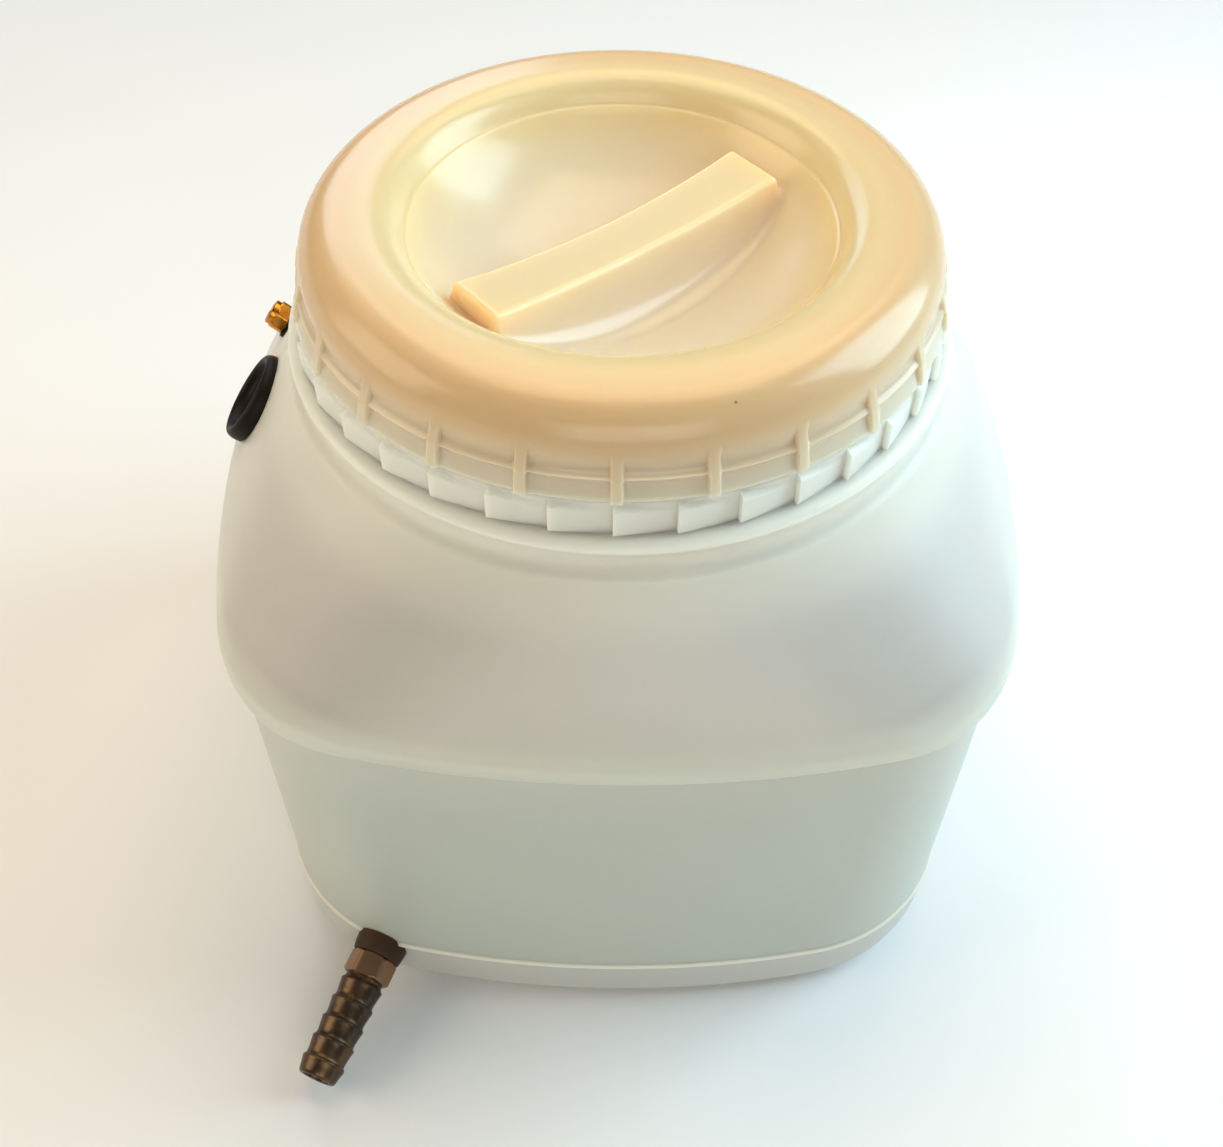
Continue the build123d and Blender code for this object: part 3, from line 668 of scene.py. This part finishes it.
inside = [(126.4, 19.5), (125.8, 19.9), (125.2, 21.4), (121.0, 23.6), (118.8, 24.6), (118.2, 25.4), (118.2, 32.0), (118.2, 42.0), (117.8, 42.5), (116.2, 42.6), (115.6, 43.0), (115.5, 44.6), (115.5, 46.6), (115.1, 47.0), (110.0, 47.0), (107.0, 47.0), (106.5, 47.4), (106.4, 48.6), (105.8, 49.8), (104.0, 50.3), (97.6, 50.4), (93.2, 50.3), (91.2, 49.2), (89.4, 46.4), (87.4, 42.6), (85.6, 39.6), (84.0, 37.9)]
rib_r = lambda z: np.interp(z, [19.5, 21.5, 28.6, 34.0, 38.2, 40.0], [130.3, 130.2, 128.6, 126.4, 125.35, 124.2])
for r, z in outer + skirt:
    if z < 40.0 and r > 118:
        on = RIB_ON * (1 - smoothstep(37.0, 39.4, z))
        want = max(float(rib_r(z)), r)
        lrows.append(lring(r + (want - r) * on, ZB + z))
    else:
        lrows.append(lring(r, ZB + z))
lrows += [lring(r, ZB + z) for r, z in inside]
# underside of the dish, three millimetres below its face and hollow under the bar
for r in np.arange(82.0, 1.0, -2.0):
    x, y = r * LC, r * LS
    u, v = x * U[0] + y * U[1], x * V[0] + y * V[1]
    base = bowl(r) - 3.0 / np.cos(np.arctan(DISH_H * (r / DISH_R**2) / math.sqrt(1 - (r / DISH_R) ** 2)))
    base = np.maximum(base, DISH_Z - 3.0)
    inset = (1 - smoothstep(9.6, 12.4, np.abs(u))) * (1 - smoothstep(66.0, 68.8, np.abs(v)))
    e = 1 - np.clip(np.abs(v) / BAR_END, 0, 1) ** 2
    lrows.append(lring(r, ZB + base + (BAR_TOP - BAR_DIP * e - 3.2 - base) * inset))
lid = Build()
lid.rings(np.stack(lrows), close_start=True, close_end=True)
helix_ridge(lid, 118.2, 115.2, ZB + 29.2, 0.8, 3.4, 2.2)

v, f = lid.done()
lid_obj = make_object("lid_shell", v, f, [M_LID], sharp=40)
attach(lid_obj, "lid")
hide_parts("screw_lid")


# ------------------------------------------------------------------ hose tail
def hexagon(b, p, d, s0, s1, af, turn, bevel=1.0, bore=None):
    """A hexagon collar whose corners are turned off at both ends, closed over its bore."""
    x, y, z = frame_of(d)
    ac = af / math.cos(math.pi / 6) / 2
    n = 24
    a = np.linspace(0, 2 * np.pi, 6 * n, endpoint=False)
    w = (a + math.radians(turn)) % (np.pi / 3) - np.pi / 6
    flat = (af / 2) / np.cos(w)
    corner = ac - 0.45
    soft = np.minimum(flat, corner)
    rows = []
    def row(r, s):
        rows.append(p + s * z + r[:, None] * (np.cos(a)[:, None] * x + np.sin(a)[:, None] * y))
    inner_r = np.full(len(a), bore if bore else 0.4)
    base_r = np.full(len(a), af / 2 - 0.35)
    over = soft - af / 2
    row(inner_r, s0)
    row(base_r, s0)
    for k in (0.0, 0.35, 0.7, 1.0):
        lim = af / 2 + (ac - af / 2) * k
        row(np.minimum(soft, lim + 0.02), s0 + 0.15 + bevel * k)
    row(soft, s0 + bevel + 0.6)
    row(soft, s1 - bevel - 0.6)
    for k in (1.0, 0.7, 0.35, 0.0):
        lim = af / 2 + (ac - af / 2) * k
        row(np.minimum(soft, lim + 0.02), s1 - 0.15 - bevel * k)
    row(base_r, s1)
    row(inner_r, s1)
    b.rings(np.stack(rows))


tail = Build()
s0 = 17.0
prof = [(6.5, -18.6), (6.7, -19.0), (9.2, -19.0), (9.9, -18.2), (9.9, 6.0), (9.0, 6.2), (9.0, s0 + 0.9), (9.15, s0 + 1.6)]
for i in range(5):
    c = s0 + 3.2 + i * 9.4
    prof += [(9.6, c - 0.75), (10.05, c - 0.35), (10.28, c - 0.05), (10.38, c + 0.35), (10.32, c + 0.8), (10.15, c + 1.3)]
    if i < 4:
        prof += [(9.88, c + 3.0), (9.62, c + 4.8), (9.44, c + 6.2), (9.36, c + 7.0), (9.38, c + 7.7), (9.48, c + 8.2)]
tip = s0 + 48.5
prof += [(9.6, tip - 4.0), (9.2, tip - 1.8), (8.95, tip - 1.0), (8.5, tip - 0.35), (7.9, tip), (7.1, tip), (6.7, tip - 0.2), (6.5, tip - 0.7)]
rows = turned(prof, TAP_P, TAP_D, 112)
tail.rings(np.concatenate([rows, rows[:1]]))
hexagon(tail, TAP_P, TAP_D, 6.0, 17.0, 20.4, 12.0, 1.2, 8.6)
v, f = tail.done()
tail_obj = make_object("hose_tail_barbed", v, f, [M_TAIL], sharp=32)
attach(tail_obj, "drum")
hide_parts("hose_tail")

washer = Build()
rows = turned([(9.95, -4.5), (9.95, 5.6), (10.2, 6.0), (10.9, 6.0), (11.4, 5.5), (11.7, 4.4), (12.1, 2.0), (12.5, -4.5)], TAP_P, TAP_D, 96)
washer.rings(np.concatenate([rows, rows[:1]]))
v, f = washer.done()
washer_obj = make_object("tap_washer_outside", v, f, [M_WASHER], sharp=50)
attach(washer_obj, "drum")
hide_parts("tap_outer_washer")

# ------------------------------------------------------------------ grommet
gro = Build()
prof = [(4.6, -7.4), (5.0, -8.0), (13.6, -8.0), (14.4, -7.2), (14.4, -4.4), (12.0, -3.9), (12.0, -2.0), (19.3, -2.0), (19.9, -1.4), (20.05, 0.4), (20.0, 2.0), (19.8, 3.0), (19.4, 4.0), (18.8, 4.8), (18.1, 5.25), (17.3, 5.4), (16.5, 5.2), (15.8, 4.7), (15.3, 4.0), (15.0, 3.2), (14.5, 2.2), (13.8, 1.5), (12.6, 1.0), (9.6, 0.6), (6.8, 0.4), (5.7, 0.0), (5.0, -0.7), (4.7, -1.6), (4.6, -3.0)]
rows = turned(prof, GRO_P, GRO_D, 112)
gro.rings(np.concatenate([rows, rows[:1]]))
v, f = gro.done()
gro_obj = make_object("grommet_black", v, f, [M_RUBBER], sharp=50)
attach(gro_obj, "drum")
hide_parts("airlock_grommet")

# ------------------------------------------------------------------ gas fitting
gas = Build()
prof = [(2.0, -12.6), (2.2, -13.0), (4.2, -13.0), (4.86, -12.3), (4.86, 1.0), (5.7, 1.6), (5.7, 9.2), (5.55, 9.75), (5.1, 10.1), (4.5, 10.2), (3.95, 10.1), (3.65, 9.7), (3.6, 9.0), (3.6, 3.2), (3.4, 2.6), (2.2, 1.8), (2.0, 1.2)]
rows = turned(prof, GAS_P, GAS_D, 80)
gas.rings(np.concatenate([rows, rows[:1]]))
hexagon(gas, GAS_P, GAS_D, 1.3, 7.8, 12.6, 10.0, 0.8, 5.2)
v, f = gas.done()
gas_obj = make_object("gas_fitting_brass", v, f, [M_BRASS], sharp=32)
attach(gas_obj, "drum")
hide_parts("gas_fitting")

# ------------------------------------------------------------------ pieces kept from the frame
for name, mat in (
    ("lid_seal", M_SEAL),
    ("tap_inner_washer", M_RUBBER),
    ("tap_backnut", M_TAIL),
    ("gas_outer_washer", M_RUBBER),
    ("gas_inner_washer", M_RUBBER),
    ("gas_backnut", M_BRASS),
):
    o = nodes[name]
    for s in o.material_slots:
        s.material = mat

# ------------------------------------------------------------------ floor, light and camera
fm, nt, b = material("floor_pale")
co, x, y, z = coords(nt)
nt.links.new(blend_colour(nt, noise(nt, co, 3.0, 2.0), (0.86, 0.86, 0.86), (0.84, 0.84, 0.84)), b.inputs["Base Color"])
b.inputs["Roughness"].default_value = 0.7
b.inputs["Specular IOR Level"].default_value = 0.2
# the sheet brightens into a pale backdrop well away from the object
far = maths(nt, "SQRT", maths(nt, "ADD", maths(nt, "MULTIPLY", x, x), maths(nt, "MULTIPLY", y, y)))
glow = node(nt, "ShaderNodeMapRange", interpolation_type="SMOOTHERSTEP")
nt.links.new(far, glow.inputs[0])
glow.inputs[1].default_value = 0.7
glow.inputs[2].default_value = 2.6
glow.inputs[3].default_value = 0.0
glow.inputs[4].default_value = 0.72
b.inputs["Emission Color"].default_value = (0.97, 0.98, 1.0, 1)
nt.links.new(glow.outputs[0], b.inputs["Emission Strength"])
fl = bpy.data.meshes.new("floor_sheet")
bm = bmesh.new()
bmesh.ops.create_grid(bm, x_segments=2, y_segments=2, size=8.0)
bm.to_mesh(fl)
bm.free()
fl.materials.append(fm)
floor = bpy.data.objects.new("floor_sheet", fl)
floor.location = (0, 0, -0.0002)
bpy.context.scene.collection.objects.link(floor)

world = bpy.data.worlds.new("studio")
bpy.context.scene.world = world
world.use_nodes = True
bg = world.node_tree.nodes["Background"]
bg.inputs["Color"].default_value = (0.70, 0.82, 1.0, 1)
bg.inputs["Strength"].default_value = 0.13
wt = world.node_tree
pale = wt.nodes.new("ShaderNodeBackground")
pale.inputs["Color"].default_value = (0.80, 0.81, 0.83, 1)
pale.inputs["Strength"].default_value = 1.0
path = wt.nodes.new("ShaderNodeLightPath")
pick = wt.nodes.new("ShaderNodeMixShader")
wt.links.new(path.outputs["Is Camera Ray"], pick.inputs[0])
wt.links.new(bg.outputs[0], pick.inputs[1])
wt.links.new(pale.outputs[0], pick.inputs[2])
wt.links.new(pick.outputs[0], wt.nodes["World Output"].inputs["Surface"])


def area(name, loc, aim, size, energy, colour, size_y=None):
    d = bpy.data.lights.new(name, "AREA")
    d.energy = energy
    d.color = colour
    d.size = size
    if size_y:
        d.shape = "RECTANGLE"
        d.size_y = size_y
    o = bpy.data.objects.new(name, d)
    o.location = loc
    o.rotation_euler = (Vector(aim) - Vector(loc)).to_track_quat("-Z", "Y").to_euler()
    bpy.context.scene.collection.objects.link(o)
    return o


area("window_right", (1.15, 0.18, 0.88), (0, 0, 0.28), 0.85, 20.4, (0.62, 0.86, 1.0), 1.15)
area("ceiling_warm", (0.05, 0.60, 1.72), (0, 0, 0.3), 1.3, 17.4, (1.0, 0.75, 0.47), 1.3)
area("room_left", (-1.40, -0.15, 0.90), (0, 0, 0.2), 1.0, 9.8, (1.0, 0.85, 0.62), 1.0)
area("room_front", (0.10, -1.60, 0.95), (0, 0, 0.2), 1.4, 10.4, (1.0, 0.96, 0.84), 1.0)
area("window_behind", (-0.55, 1.45, 1.10), (0, 0, 0.3), 0.9, 6.6, (0.60, 0.82, 1.0), 0.7)

cam_d = bpy.data.cameras.new("cam")
cam_d.sensor_fit = "HORIZONTAL"
cam_d.sensor_width = 36.0
cam_d.lens = 1400.0 / 1223.0 * 36.0
cam_d.clip_start = 0.01
cam_d.clip_end = 50
cam = bpy.data.objects.new("cam", cam_d)
pitch = math.radians(48.857)
roll = math.radians(0.523)
cam.location = (-0.00269, -0.46029, (ZB + 361.97) * MM)
cam.rotation_euler = (Matrix.Rotation(math.radians(90) - pitch, 3, "X") @ Matrix.Rotation(roll, 3, "Z")).to_euler()
bpy.context.scene.collection.objects.link(cam)
bpy.context.scene.camera = cam
bpy.context.scene.view_settings.view_transform = "Standard"
